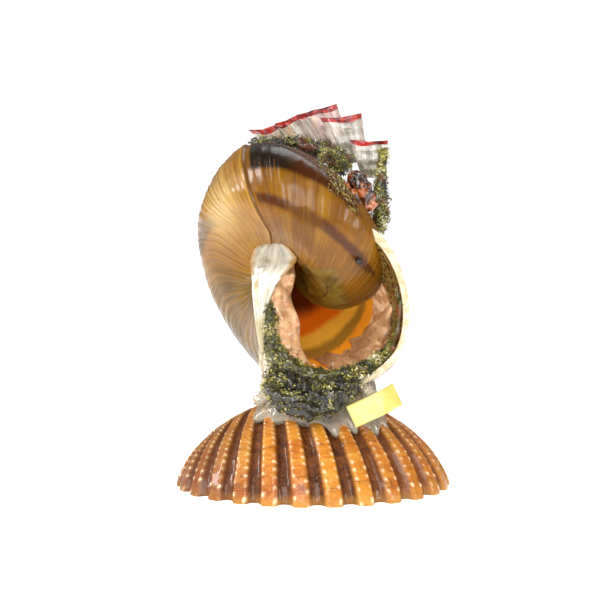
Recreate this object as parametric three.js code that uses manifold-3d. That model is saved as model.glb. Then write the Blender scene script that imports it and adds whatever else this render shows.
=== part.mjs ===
// Shell-craft ornament. A land-snail shell stands mouth forward on a hollow cockle valve, held by a
// foot of clear glue packed with moss. A fragment of scallop valve stands behind the snail's crown.
// Millimetres, +Z up. The origin is on the table under the middle of the cockle valve, and the
// snail's mouth faces -Y.

import * as THREE from 'three';
import { mergeVertices } from 'three/addons/utils/BufferGeometryUtils.js';
import Module from 'manifold-3d';

const wasm = await Module();
wasm.setup();

// ---------------------------------------------------------------- driving dimensions (mm, radians)

const GAP = 0.3; // clearance between touching pieces

// Cockle valve, resting on its margin with the hollow side down.
const VALVE_HALF_WIDTH = 24.6;
const VALVE_HALF_DEPTH = 21.6;
const VALVE_HEIGHT = 16.0;
const VALVE_DOME_POWER = 0.7; // under 1 rounds the dome's shoulders
const VALVE_WALL = 1.5;
const VALVE_RIM = 2.0; // width of the flat margin that it rests on
const BEAK = new THREE.Vector2(-8, 16.3); // where the ribs meet, in plan
const BEAK_RISE = 3.0;
const BEAK_SPREAD = 3.5;
const RIB_COUNT = 22;
const RIB_PITCH = THREE.MathUtils.degToRad(13.45);
const RIB_PHASE = THREE.MathUtils.degToRad(0.7);
const RIB_RELIEF = 0.8;
const HINGE_COLUMNS = 6;
const RIB_SECTION = [[0.02, 0], [0.22, 0], [0.36, 1], [0.86, 1]]; // share of the pitch, and level
const OUTER_SPREADS = [0.15, 0.45, 0.7, 0.86, 0.96, 1]; // rings from the beak out to the margin
const INNER_SPREADS = [1, 0.92, 0.7, 0.3];
const CUTTER_SIZES = [1, 0.98, 0.92, 0.82, 0.68, 0.5, 0.3, 0.12];
const CUTTER_SIDES = 48;

// Snail shell: one closed section swept round the coiling axis while it grows from the apex.
const WHORL_RATIO = 1.812; // size of one whorl against the whorl before it
const MOUTH_OFFSET = 12.64; // middle of the mouth from the coiling axis
const MOUTH_DROP = 18.76; // middle of the mouth below the apex, along the axis
const MOUTH_HALF_WIDTH = 15.25;
const MOUTH_HALF_HEIGHT = 11.11;
const MOUTH_POWER = 1.711; // 2 would be an ellipse
const MOUTH_TURN = 0.195;
const MOUTH_LEAN = 0.812;
const MOUTH_BOW = -3.21;
const COLUMELLA_RADIUS = 0.4;
const COLUMELLA_BLEND = 9; // the lean of the mouth fades out inside this radius
const SHELL_WALL = 1.2;
const WHORLS = 4;
const WHORL_STEPS = [8, 6, 4, 3]; // steps in a half turn, newest whorl first
const WHORL_SIDES = 18;
const CAVITY_TURNS = 0.8; // how far the hollow is followed back from the mouth, in turns
const CAVITY_STEPS = [7, 5]; // steps in the front and the back length of the hollow
const CAVITY_LAP = 0.15; // radians that the two lengths share
const CAVITY_PAST_LIP = 0.06; // radians that the hollow's cutter runs out past the lip
const LIP_CLEARANCE = 0.02; // radians kept clear in front of the lip
const OLDER_WHORL_LAG = 0.5; // whorls older than this share of a length bulge into it
const APEX = new THREE.Vector3(7.64, 6.59, 49.77);
const SHELL_SPIN = -0.487;
const SHELL_TILT = -0.53;
const SHELL_ROLL = 0.984;

// Folded-back inner lip of the snail, over its navel.
const INNER_LIP_START = 2.35;
const INNER_LIP_END = 4.55;
const INNER_LIP_HALF_WIDTH = 1.7;
const INNER_LIP_HALF_THICKNESS = 0.75;
const INNER_LIP_TIP = 0.35; // size of its ends against its middle
const INNER_LIP_STEPS = 12;
const INNER_LIP_SIDES = 10;

// Clear glue foot between the two shells: height, half width and half depth of each level.
const FOOT_CENTRE = new THREE.Vector2(1.3, -1.2);
const FOOT_LEVELS = [
  [8.5, 14.6, 12.4],
  [12.5, 13.6, 11.6],
  [15.5, 12.0, 10.6],
  [18.0, 10.6, 9.6],
  [21.0, 10.4, 8.4],
  [24.0, 8.8, 6.4],
];
const FOOT_SIDES = 24;

// ---------------------------------------------------------------- geometry helpers

// Closed skin over a row of equal rings. Each end is closed by a fan to its pole, or to its middle.
function loft(rings, startPole = middle(rings[0]), endPole = middle(rings[rings.length - 1])) {
  const sides = rings[0].length;
  const points = [...rings.flat(), startPole, endPole];
  const faces = [];
  const first = points.length - 2;
  const last = points.length - 1;
  for (let row = 0; row < rings.length - 1; row += 1) {
    for (let side = 0; side < sides; side += 1) {
      const a = row * sides + side;
      const b = row * sides + (side + 1) % sides;
      faces.push(a, b, b + sides, a, b + sides, a + sides);
    }
  }
  const top = (rings.length - 1) * sides;
  for (let side = 0; side < sides; side += 1) {
    const next = (side + 1) % sides;
    faces.push(first, next, side, last, top + side, top + next);
  }
  const geometry = new THREE.BufferGeometry();
  geometry.setAttribute('position', new THREE.Float32BufferAttribute(points.flatMap((p) => p.toArray()), 3));
  geometry.setIndex(signedVolume(points, faces) < 0 ? faces.reverse() : faces);
  return geometry;
}

function middle(ring) {
  const sum = new THREE.Vector3();
  for (const point of ring) {
    sum.add(point);
  }
  return sum.divideScalar(ring.length);
}

function signedVolume(points, faces) {
  const cross = new THREE.Vector3();
  let volume = 0;
  for (let i = 0; i < faces.length; i += 3) {
    cross.crossVectors(points[faces[i + 1]], points[faces[i + 2]]);
    volume += points[faces[i]].dot(cross) / 6;
  }
  return volume;
}

function toSolid(geometry) {
  const bare = geometry.clone();
  bare.deleteAttribute('normal');
  bare.deleteAttribute('uv');
  const merged = mergeVertices(bare, 1e-5);
  return new wasm.Manifold(new wasm.Mesh({
    numProp: 3,
    vertProperties: new Float32Array(merged.attributes.position.array),
    triVerts: new Uint32Array(merged.index.array),
  }));
}

function toGeometry(solid) {
  const mesh = solid.getMesh();
  const geometry = new THREE.BufferGeometry();
  geometry.setAttribute('position', new THREE.BufferAttribute(new Float32Array(mesh.vertProperties), 3));
  geometry.setIndex(new THREE.BufferAttribute(new Uint32Array(mesh.triVerts), 1));
  return geometry;
}

function join(solids) {
  return solids.reduce((whole, solid) => whole.add(solid));
}

// Drops the crumbs that a cut leaves behind.
function largest(solid) {
  return solid.decompose().reduce((best, part) => (part.volume() > best.volume() ? part : best));
}

function smoothStep(value, end) {
  const x = THREE.MathUtils.clamp(value / end, 0, 1);
  return x * x * (3 - 2 * x);
}

const ROPE_KNOB = 0.1; // height of the knobs against the rope's radius

// A knobbly rope of round rings along a smooth path, used for clumps of moss and for the resin.
function rope(path, radii, sides = 8, steps = 8) {
  const curve = new THREE.CatmullRomCurve3(path.map((p) => new THREE.Vector3(...p)));
  const frames = curve.computeFrenetFrames(steps, false);
  const rings = [];
  for (let step = 0; step <= steps; step += 1) {
    const along = step / steps;
    const centre = curve.getPoint(along);
    const slot = along * (radii.length - 1);
    const low = Math.min(Math.floor(slot), radii.length - 2);
    const radius = THREE.MathUtils.lerp(radii[low], radii[low + 1], slot - low);
    const ring = [];
    for (let side = 0; side < sides; side += 1) {
      const angle = (side / sides) * 2 * Math.PI;
      const knob = radius * (1 + ROPE_KNOB * Math.sin(5.1 * step + 3.7 * side));
      ring.push(centre.clone()
        .addScaledVector(frames.normals[step], knob * Math.cos(angle))
        .addScaledVector(frames.binormals[step], knob * Math.sin(angle)));
    }
    rings.push(ring);
  }
  return loft(rings);
}

// ---------------------------------------------------------------- cockle valve

// Height of the dome, and its outward normal, over a point in plan.
function dome(x, y, inset) {
  const halfWidth = VALVE_HALF_WIDTH - inset;
  const halfDepth = VALVE_HALF_DEPTH - inset;
  const height = VALVE_HEIGHT - Math.min(inset, VALVE_WALL);
  const fall = Math.max(1 - (x / halfWidth) ** 2 - (y / halfDepth) ** 2, 0);
  const steep = 2 * VALVE_DOME_POWER * height * Math.max(fall, 0.01) ** (VALVE_DOME_POWER - 1);
  const beak = BEAK_RISE * Math.exp(-((x - BEAK.x) ** 2 + (y - BEAK.y) ** 2) / (2 * BEAK_SPREAD ** 2));
  const edge = Math.min(fall * 6, 1);
  const normal = new THREE.Vector3(steep * x / halfWidth ** 2, steep * y / halfDepth ** 2, fall > 0 ? 1 : 0);
  return { z: height * fall ** VALVE_DOME_POWER + beak * edge, normal: normal.normalize() };
}

// Angles round the valve from its front, with two points on each rib and two in each groove.
function valveColumns() {
  const columns = [];
  const first = RIB_PHASE - (RIB_COUNT * RIB_PITCH) / 2;
  for (let rib = 0; rib < RIB_COUNT; rib += 1) {
    const start = first + rib * RIB_PITCH;
    for (const [part, level] of RIB_SECTION) {
      columns.push({ angle: start + part * RIB_PITCH, level });
    }
  }
  const hingeStart = first + RIB_COUNT * RIB_PITCH;
  const hinge = 2 * Math.PI - RIB_COUNT * RIB_PITCH;
  for (let column = 0; column < HINGE_COLUMNS; column += 1) {
    columns.push({ angle: hingeStart + ((column + 0.4) / HINGE_COLUMNS) * hinge, level: 1 });
  }
  return columns;
}

// One ring of the valve: spread is 0 at the beak and 1 at the margin.
function valveRing(spread, inset, relief) {
  return valveColumns().map(({ angle, level }) => {
    const edgeX = (VALVE_HALF_WIDTH - inset) * Math.sin(angle);
    const edgeY = -(VALVE_HALF_DEPTH - inset) * Math.cos(angle);
    const x = THREE.MathUtils.lerp(BEAK.x, edgeX, spread);
    const y = THREE.MathUtils.lerp(BEAK.y - inset, edgeY, spread);
    const surface = dome(x, y, inset);
    const point = new THREE.Vector3(x, y, surface.z);
    point.addScaledVector(surface.normal, relief * spread * (level - 0.5));
    point.z = spread === 1 ? 0 : Math.max(point.z, 0);
    return point;
  });
}

function cockleGeometry() {
  const rings = [];
  for (const spread of OUTER_SPREADS) {
    rings.push(valveRing(spread, 0, RIB_RELIEF));
  }
  for (const spread of INNER_SPREADS) {
    rings.push(valveRing(spread, VALVE_RIM, 0));
  }
  const outerPole = new THREE.Vector3(BEAK.x, BEAK.y, dome(BEAK.x, BEAK.y, 0).z);
  const innerY = BEAK.y - VALVE_RIM;
  const innerPole = new THREE.Vector3(BEAK.x, innerY, dome(BEAK.x, innerY, VALVE_RIM).z);
  return loft(rings, outerPole, innerPole);
}

// Filled dome that clears the ribs, used to trim what stands on the valve.
function valveCutter() {
  const clear = -(RIB_RELIEF / 2 + GAP);
  const rings = [];
  for (const size of CUTTER_SIZES) {
    const ring = [];
    for (let side = 0; side < CUTTER_SIDES; side += 1) {
      const angle = (side / CUTTER_SIDES) * 2 * Math.PI;
      const x = (VALVE_HALF_WIDTH - clear) * size * Math.cos(angle);
      const y = (VALVE_HALF_DEPTH - clear) * size * Math.sin(angle);
      const fall = 1 - size * size;
      ring.push(new THREE.Vector3(x, y, (VALVE_HEIGHT - clear) * fall ** VALVE_DOME_POWER));
    }
    rings.push(ring);
  }
  return loft(rings, new THREE.Vector3(0, 0, -1), new THREE.Vector3(0, 0, VALVE_HEIGHT - clear));
}

// ---------------------------------------------------------------- snail shell, in its own frame

// A point of the growing edge. grow moves it out of the section (plus) or into it (minus).
function mouthPoint(angle, grow, folded = false) {
  const power = 2 / MOUTH_POWER;
  const cos = Math.cos(angle);
  const sin = Math.sin(angle);
  const wide = (MOUTH_HALF_WIDTH + grow) * Math.sign(cos) * Math.abs(cos) ** power;
  const high = (MOUTH_HALF_HEIGHT + grow) * Math.sign(sin) * Math.abs(sin) ** power;
  const across = wide * Math.cos(MOUTH_TURN) - high * Math.sin(MOUTH_TURN);
  const along = wide * Math.sin(MOUTH_TURN) + high * Math.cos(MOUTH_TURN);
  const forward = Math.tan(MOUTH_LEAN) * along + (MOUTH_BOW * across) / MOUTH_HALF_WIDTH;
  if (folded) {
    return new THREE.Vector3(MOUTH_OFFSET + across, -forward, along - MOUTH_DROP);
  }
  const radius = Math.max(MOUTH_OFFSET + across, COLUMELLA_RADIUS - grow);
  return new THREE.Vector3(radius, -forward * smoothStep(radius, COLUMELLA_BLEND), along - MOUTH_DROP);
}

// The same edge at another age: turned back round the axis and shrunk towards the apex.
function atAge(point, turn) {
  const size = Math.exp((Math.log(WHORL_RATIO) * turn) / (2 * Math.PI));
  return point.clone().applyAxisAngle(new THREE.Vector3(0, 0, 1), -turn).multiplyScalar(size);
}

function tube(start, end, steps, grow) {
  const rings = [];
  for (let step = 0; step <= steps; step += 1) {
    const turn = THREE.MathUtils.lerp(start, end, step / steps);
    const ring = [];
    for (let side = 0; side < WHORL_SIDES; side += 1) {
      ring.push(atAge(mouthPoint(((side + 0.5) / WHORL_SIDES) * 2 * Math.PI, grow), turn));
    }
    rings.push(ring);
  }
  return toSolid(loft(rings));
}

// Filled whorls from the apex up to one age, in half-turn lengths so that none meets itself.
function whorls(end, grow) {
  const start = -WHORLS * 2 * Math.PI;
  const count = Math.ceil((end - start) / Math.PI);
  const parts = [];
  for (let part = 0; part < count; part += 1) {
    const from = end - (part + 1) * Math.PI;
    const steps = WHORL_STEPS[Math.min(Math.floor(part / 2), WHORL_STEPS.length - 1)];
    parts.push(tube(from, end - part * Math.PI, steps, grow));
  }
  return join(parts);
}

// The hollow behind the mouth, less the older whorls that bulge into it.
function cavity(shrink) {
  const half = -CAVITY_TURNS * Math.PI;
  const [frontSteps, backSteps] = CAVITY_STEPS;
  const front = tube(half - CAVITY_LAP, CAVITY_PAST_LIP, frontSteps, -shrink);
  const back = tube(2 * half, half, backSteps, -shrink);
  const bulge = whorls((1 + OLDER_WHORL_LAG) * half, 0);
  const olderBulge = whorls((2 + OLDER_WHORL_LAG) * half, 0);
  return front.subtract(bulge).add(back.subtract(olderBulge));
}

// Flap of the inner lip, folded back over the navel.
function innerLip(grow) {
  const rings = [];
  const centre = new THREE.Vector3(MOUTH_OFFSET, 0, -MOUTH_DROP);
  for (let step = 0; step <= INNER_LIP_STEPS; step += 1) {
    const share = step / INNER_LIP_STEPS;
    const angle = THREE.MathUtils.lerp(INNER_LIP_START, INNER_LIP_END, share);
    const point = mouthPoint(angle, -INNER_LIP_HALF_WIDTH, true);
    const before = mouthPoint(angle - 0.02, -INNER_LIP_HALF_WIDTH, true);
    const inward = centre.clone().sub(point).normalize();
    const out = new THREE.Vector3().crossVectors(inward, point.clone().sub(before)).normalize();
    const taper = THREE.MathUtils.lerp(INNER_LIP_TIP, 1, Math.sin(Math.PI * share) ** 0.6);
    const ring = [];
    for (let side = 0; side < INNER_LIP_SIDES; side += 1) {
      const round = (side / INNER_LIP_SIDES) * 2 * Math.PI;
      ring.push(point.clone()
        .addScaledVector(inward, (INNER_LIP_HALF_WIDTH * taper + grow) * Math.cos(round))
        .addScaledVector(out, (INNER_LIP_HALF_THICKNESS * taper + grow) * Math.sin(round)));
    }
    rings.push(ring);
  }
  return toSolid(loft(rings));
}

// The whole shell. A positive clearance gives the cutter that keeps neighbours off it.
function snailShell(clearance) {
  return largest(whorls(0, clearance).subtract(cavity(SHELL_WALL + clearance)).add(innerLip(clearance)));
}

// A patch on the inner wall: from angle to angle round the mouth, and from turn to turn behind the
// lip. Its thickness goes from the first value to the second along it.
function wallPatch({ angles: [fromAngle, toAngle], turns: [fromTurn, toTurn], thick }, clearance) {
  const margin = clearance / PATCH_REACH;
  const rings = [];
  for (let step = 0; step <= PATCH_STEPS; step += 1) {
    const angle = THREE.MathUtils.lerp(fromAngle - margin, toAngle + margin, step / PATCH_STEPS);
    const thickness = THREE.MathUtils.lerp(...thick, step / PATCH_STEPS);
    const wave = 1 + PATCH_WAVE * Math.sin(6 * angle);
    const outer = [];
    const inner = [];
    for (let depth = 0; depth <= PATCH_DEPTHS; depth += 1) {
      const turn = THREE.MathUtils.lerp(fromTurn + margin, toTurn - margin, depth / PATCH_DEPTHS);
      const bulge = Math.sin((Math.PI * (depth + 1)) / (PATCH_DEPTHS + 2));
      const swell = THREE.MathUtils.lerp(PATCH_EDGE, 1, bulge);
      const inset = LINING_INSET + thickness * swell * wave + clearance;
      outer.push(atAge(mouthPoint(angle, clearance - LINING_INSET), turn));
      inner.push(atAge(mouthPoint(angle, -inset), turn));
    }
    rings.push([...outer, ...inner.reverse()]);
  }
  return loft(rings);
}

// ---------------------------------------------------------------- scallop fragment

const SCALLOP_BEAK = new THREE.Vector3(12.2, 0.6, 45.0);
const SCALLOP_THICKNESS = 0.9;
const SCALLOP_FLUTE = 1.2;
const SCALLOP_REACHES = [0.35, 0.6, 0.8, 1]; // the broken lower edge, up to the margin

// Top edge of each flute: right and left end, as [across, back, up]. Each flute tucks in behind the
// one on its right, so the margin climbs in steps.
const SCALLOP_FLUTES = [
  [[13.5, -0.6, 62.0], [6.9, 0.9, 61.6]],
  [[8.7, 2.8, 66.9], [1.7, 2.8, 65.9]],
  [[4.3, 4.6, 68.9], [-2.6, 4.6, 66.6]],
  [[-2.6, 5.8, 66.5], [-6.8, 6.2, 64.7]],
  [[-6.8, 7.2, 64.4], [-11.6, 7.6, 63.4]],
];

// Points across one flute at one reach from the beak, shifted by an offset.
function fluteRow([right, left], reach, offset) {
  const row = [];
  for (const share of [0, 0.25, 0.5, 0.75, 1]) {
    const edge = new THREE.Vector3(...right).lerp(new THREE.Vector3(...left), share);
    const point = SCALLOP_BEAK.clone().lerp(edge, reach).add(offset);
    point.y += SCALLOP_FLUTE * reach * Math.sin(Math.PI * share);
    row.push(point);
  }
  return row;
}

// The folded sheet, all flutes in a row.
function scallopSolid() {
  return toSolid(loft(SCALLOP_REACHES.map((reach) => {
    const thickness = new THREE.Vector3(0, SCALLOP_THICKNESS * reach, 0);
    const front = SCALLOP_FLUTES.flatMap((edge) => fluteRow(edge, reach, new THREE.Vector3()));
    const back = SCALLOP_FLUTES.flatMap((edge) => fluteRow(edge, reach, thickness));
    return [...front, ...back.reverse()];
  })));
}

// Fat flutes that keep the moss off the sheet.
function scallopCutter() {
  return join(SCALLOP_FLUTES.map(([right, left]) => {
    const wide = [[right[0] + GAP, right[1], right[2] + GAP], [left[0] - GAP, left[1], left[2] + GAP]];
    return toSolid(loft(SCALLOP_REACHES.map((reach) => {
      const front = fluteRow(wide, reach, new THREE.Vector3(0, -GAP, 0));
      const back = fluteRow(wide, reach, new THREE.Vector3(0, SCALLOP_THICKNESS + 2 * GAP, 0));
      return [...front, ...back.reverse()];
    })));
  }));
}

// ---------------------------------------------------------------- glue foot

function footGeometry(grow) {
  const rings = FOOT_LEVELS.map(([z, halfWidth, halfDepth]) => {
    const ring = [];
    for (let side = 0; side < FOOT_SIDES; side += 1) {
      const angle = (side / FOOT_SIDES) * 2 * Math.PI;
      const lobes = 1 + 0.05 * Math.sin(3 * angle + 1) + 0.03 * Math.sin(7 * angle);
      const x = FOOT_CENTRE.x + (halfWidth * lobes + grow) * Math.cos(angle);
      const y = FOOT_CENTRE.y + (halfDepth * lobes + grow) * Math.sin(angle);
      ring.push(new THREE.Vector3(x, y, z));
    }
    return ring;
  });
  return loft(rings);
}

// ---------------------------------------------------------------- trimmings

// Moss clumps: path of each, and its radius along the path.
const MOSS = {
  moss_collar: {
    path: [[-8.6, -7.5, 19.4], [-5, -12, 17.6], [-0.6, -13.6, 16.4], [3.4, -13.4, 17.8], [7.4, -12.2, 20.4]],
    radii: [1.6, 2.6, 3, 2.8, 1.8],
  },
  moss_lip: {
    path: [[-8.2, -4.4, 31.6], [-8.2, -5.2, 27.6], [-6.6, -6.4, 24], [-2.4, -8.6, 21.6], [3, -10.4, 20.9],
      [8, -12.2, 22.2]],
    radii: [1.2, 1.9, 2.2, 2, 1.8, 1.4],
  },
  moss_crest: {
    path: [[-11.4, 5, 61.2], [-6.8, 5.4, 61.6], [-1.4, 4.4, 61.2], [3.1, 2, 59.8], [6.2, -0.4, 57.4]],
    radii: [1.0, 1.2, 1.4, 2.1, 2.2],
  },
  moss_side: {
    path: [[10.4, -2.4, 56.4], [11.8, -2.4, 53], [12.2, -2.6, 49.6], [11.8, -2.8, 46]],
    radii: [1.4, 2, 2.2, 1.6],
  },
};

// Putty and moss pressed on the snail's inner wall. Angle 0 is the far side from the axis.
const PATCH_WAVE = 0.22; // waviness of the free face against the thickness
const PATCH_EDGE = 0.35; // thickness at the edges against the middle
const PATCH_STEPS = 7;
const PATCH_DEPTHS = 3;
const PATCH_REACH = MOUTH_OFFSET - 2; // shortest radius that the patches lie at
const LINING_INSET = SHELL_WALL + 2 * GAP;
const LININGS = {
  putty_right: { angles: [-0.35, 1.0], turns: [-0.5, -0.95], thick: [2.4, 1.8], finish: 'putty' },
  putty_left: { angles: [3.1, 4.3], turns: [-0.1, -0.4], thick: [2.2, 6.2], finish: 'putty' },
  putty_sill: { angles: [4.45, 5.5], turns: [-0.2, -0.6], thick: [2.2, 1.6], finish: 'putty' },
  moss_inner_lip: { angles: [-0.6, 0.95], turns: [-0.06, -0.42], thick: [1.2, 0.8], finish: 'moss' },
};

// Run of dark resin drops between the snail and the scallop.
const RESIN_PATH = [[6.6, -5.6, 56.4], [8, -5.4, 54.6], [9, -5.2, 52.6], [10, -5, 50.4]];
const RESIN_RADII = [1.1, 1.7, 1.6, 1.2];

const BEAD_RADIUS = 0.85;
const BEAD_CENTRE = new THREE.Vector3(7.9, -13.3, 41.9);

// Paper label, flat at its left end and bent back round the foot at its right end.
const LABEL_CORNER = new THREE.Vector3(5.6, -13.9, 16.4);
const LABEL_FLAT = 4.6;
const LABEL_LENGTH = 10.4;
const LABEL_BEND_RADIUS = 7;
const LABEL_HEIGHT = 4.2;
const LABEL_THICKNESS = 0.3;
const LABEL_RISE = THREE.MathUtils.degToRad(25);
const LABEL_DOWN = new THREE.Vector3(0.42, -0.28, -0.86);
const LABEL_STEPS = 8;

function labelGeometry() {
  const rings = [];
  for (let step = 0; step <= LABEL_STEPS; step += 1) {
    const length = (step / LABEL_STEPS) * LABEL_LENGTH;
    const turn = Math.max(length - LABEL_FLAT, 0) / LABEL_BEND_RADIUS;
    const along = Math.min(length, LABEL_FLAT) + LABEL_BEND_RADIUS * Math.sin(turn);
    const top = LABEL_CORNER.clone().add(new THREE.Vector3(
      along * Math.cos(LABEL_RISE),
      LABEL_BEND_RADIUS * (1 - Math.cos(turn)),
      along * Math.sin(LABEL_RISE),
    ));
    const bottom = top.clone().addScaledVector(LABEL_DOWN, LABEL_HEIGHT);
    const inward = new THREE.Vector3(-Math.sin(turn), Math.cos(turn), 0).multiplyScalar(LABEL_THICKNESS);
    rings.push([top, bottom, bottom.clone().add(inward), top.clone().add(inward)]);
  }
  return loft(rings);
}

// ---------------------------------------------------------------- assembly

const FINISHES = {
  cockle: { color: 0xb8712f, roughness: 0.35, metalness: 0 },
  snail: { color: 0xa8793a, roughness: 0.2, metalness: 0 },
  scallop: { color: 0xcfc6c0, roughness: 0.35, metalness: 0 },
  glue: { color: 0xd8d4c4, roughness: 0.08, metalness: 0 },
  moss: { color: 0x3c4322, roughness: 0.75, metalness: 0 },
  putty: { color: 0xd7a08a, roughness: 0.25, metalness: 0 },
  resin: { color: 0x6a2a14, roughness: 0.08, metalness: 0 },
  paper: { color: 0xeee388, roughness: 0.6, metalness: 0 },
  bead: { color: 0x1a1614, roughness: 0.2, metalness: 0 },
};

function piece(name, geometry, finish) {
  const mesh = new THREE.Mesh(geometry, new THREE.MeshStandardMaterial(FINISHES[finish]));
  mesh.name = name;
  return mesh;
}

const ornament = new THREE.Group();
ornament.add(piece('cockle_base', cockleGeometry(), 'cockle'));

// The snail and what lines its mouth share the shell's own frame.
const snailFrame = new THREE.Group();
snailFrame.position.copy(APEX);
snailFrame.quaternion
  .multiply(new THREE.Quaternion().setFromAxisAngle(new THREE.Vector3(0, 1, 0), SHELL_ROLL))
  .multiply(new THREE.Quaternion().setFromAxisAngle(new THREE.Vector3(1, 0, 0), SHELL_TILT))
  .multiply(new THREE.Quaternion().setFromAxisAngle(new THREE.Vector3(0, 0, 1), SHELL_SPIN));
snailFrame.updateMatrix();
const toTable = (solid) => toSolid(toGeometry(solid).applyMatrix4(snailFrame.matrix));
snailFrame.add(piece('snail_shell', toGeometry(snailShell(0)), 'snail'));
ornament.add(snailFrame);

const shellInSnail = snailShell(GAP);
const shellCutter = toTable(shellInSnail);
const bodyCutter = toTable(whorls(LIP_CLEARANCE, GAP).add(innerLip(GAP)));

// Glue foot, trimmed to both shells.
const foot = toSolid(footGeometry(0)).subtract(bodyCutter).subtract(toSolid(valveCutter()));
ornament.add(piece('glue_foot', toGeometry(largest(foot)), 'glue'));

// Scallop fragment, trimmed to the snail's back.
ornament.add(piece('scallop_crest', toGeometry(largest(scallopSolid().subtract(bodyCutter))), 'scallop'));

// Each trimming is cut back from the pieces that were there before it.
const flutes = scallopCutter().add(scallopSolid());
const standing = [toSolid(footGeometry(GAP)), flutes, toSolid(valveCutter())];
for (const [name, lining] of Object.entries(LININGS)) {
  const patch = toSolid(wallPatch(lining, 0)).subtract(shellInSnail);
  snailFrame.add(piece(name, toGeometry(largest(patch)), lining.finish));
  standing.push(toTable(toSolid(wallPatch(lining, GAP))));
}

const drops = toSolid(rope(RESIN_PATH, RESIN_RADII)).subtract(shellCutter).subtract(flutes);
ornament.add(piece('resin_drops', toGeometry(largest(drops)), 'resin'));
standing.push(toSolid(rope(RESIN_PATH, RESIN_RADII.map((radius) => radius + GAP))));

for (const [name, { path, radii }] of Object.entries(MOSS)) {
  const clump = toSolid(rope(path, radii)).subtract(shellCutter).subtract(join(standing));
  ornament.add(piece(name, toGeometry(largest(clump)), 'moss'));
  standing.push(toSolid(rope(path, radii.map((radius) => radius + GAP))));
}

ornament.add(piece('label', labelGeometry(), 'paper'));
const bead = new THREE.SphereGeometry(BEAD_RADIUS, 10, 6).translate(...BEAD_CENTRE.toArray());
ornament.add(piece('bead', toGeometry(toSolid(bead).subtract(shellCutter)), 'bead'));

export default ornament;
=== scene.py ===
"""Looks of the shell-craft ornament: a varnished snail shell on a cockle valve, with moss, glue and a
scallop fragment. Shapes are worked out in millimetres, in the frame's own axes, and stored in metres."""

import math

import bpy
import mathutils
import numpy as np
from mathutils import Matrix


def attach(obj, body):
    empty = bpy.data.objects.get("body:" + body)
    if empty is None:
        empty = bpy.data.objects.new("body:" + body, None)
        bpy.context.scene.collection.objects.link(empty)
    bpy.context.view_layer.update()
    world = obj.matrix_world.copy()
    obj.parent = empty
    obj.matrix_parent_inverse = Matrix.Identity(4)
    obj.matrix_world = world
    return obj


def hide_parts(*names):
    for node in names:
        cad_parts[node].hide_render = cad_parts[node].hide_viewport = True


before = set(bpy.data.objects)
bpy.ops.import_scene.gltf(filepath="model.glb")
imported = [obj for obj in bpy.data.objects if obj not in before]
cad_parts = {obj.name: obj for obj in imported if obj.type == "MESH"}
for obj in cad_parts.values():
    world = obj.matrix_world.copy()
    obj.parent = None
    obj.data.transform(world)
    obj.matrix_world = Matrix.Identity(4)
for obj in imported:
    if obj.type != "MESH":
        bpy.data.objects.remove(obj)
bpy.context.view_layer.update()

MM = 0.001
TAU = 2 * math.pi


# ---- mesh helpers

def make_object(name, points, faces, material, attributes=None):
    """An object from points in millimetres. attributes holds one number per point for each name."""
    mesh = bpy.data.meshes.new(name)
    mesh.from_pydata((np.asarray(points, float) * MM).tolist(), [], [list(f) for f in faces])
    for key, values in (attributes or {}).items():
        layer = mesh.attributes.new(key, "FLOAT", "POINT")
        layer.data.foreach_set("value", np.asarray(values, np.float32).ravel())
    mesh.polygons.foreach_set("use_smooth", [True] * len(mesh.polygons))
    mesh.update()
    thing = bpy.data.objects.new(name, mesh)
    bpy.context.collection.objects.link(thing)
    mesh.materials.append(material)
    return thing


def loft_faces(rows, columns, closed=True):
    """Quads between neighbouring rows of a grid whose points run row by row."""
    faces = []
    last = columns if closed else columns - 1
    for row in range(rows - 1):
        for column in range(last):
            a = row * columns + column
            b = row * columns + (column + 1) % columns
            faces.append((a, b, b + columns, a + columns))
    return faces


def end_fans(rows, columns, first_pole, last_pole):
    """Triangles that close the first and the last ring of a grid onto two pole points."""
    faces = []
    top = (rows - 1) * columns
    for column in range(columns):
        following = (column + 1) % columns
        faces.append((first_pole, following, column))
        faces.append((last_pole, top + column, top + following))
    return faces


def closed_loft(rings):
    """Points and faces of a closed skin over equal rings, with a pole in the middle of each end."""
    rings = np.asarray(rings, float)
    rows, columns = rings.shape[:2]
    points = np.vstack([rings.reshape(-1, 3), rings[0].mean(0), rings[-1].mean(0)])
    count = rows * columns
    return points, loft_faces(rows, columns) + end_fans(rows, columns, count, count + 1)


def joined(parts):
    """One list of points and faces from several."""
    points, faces, offset = [], [], 0
    for part, part_faces in parts:
        points.append(part)
        faces += [tuple(corner + offset for corner in face) for face in part_faces]
        offset += len(part)
    return np.vstack(points), faces


def poled(values):
    """Numbers for a closed loft: one for each point of its rings, then each pole's mean."""
    return np.append(values.ravel(), [values[0].mean(), values[-1].mean()])


def face_outward(thing):
    """Turns every closed part of the mesh to face out."""
    bpy.context.view_layer.objects.active = thing
    bpy.ops.object.select_all(action="DESELECT")
    thing.select_set(True)
    bpy.ops.object.mode_set(mode="EDIT")
    bpy.ops.mesh.select_all(action="SELECT")
    bpy.ops.mesh.normals_make_consistent(inside=False)
    bpy.ops.object.mode_set(mode="OBJECT")


def settle(piece, node=None):
    """Fixes a piece to the one body, and in place of its CAD node."""
    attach(piece, "root")
    if node:
        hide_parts(node)


def ripple(points, size, seed):
    """Smooth seeded noise between about -1 and 1 at each point; size is its coarsest wavelength."""
    draw = np.random.default_rng(seed)
    points = np.asarray(points, float)
    total = np.zeros(points.shape[:-1])
    for octave in range(3):
        for _ in range(6):
            direction = draw.normal(size=3)
            direction *= TAU / (size * 0.5 ** octave) / np.linalg.norm(direction) * draw.uniform(0.7, 1.3)
            total += np.sin(points @ direction + draw.uniform(0, TAU)) * 0.5 ** octave / 3
    return total


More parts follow.
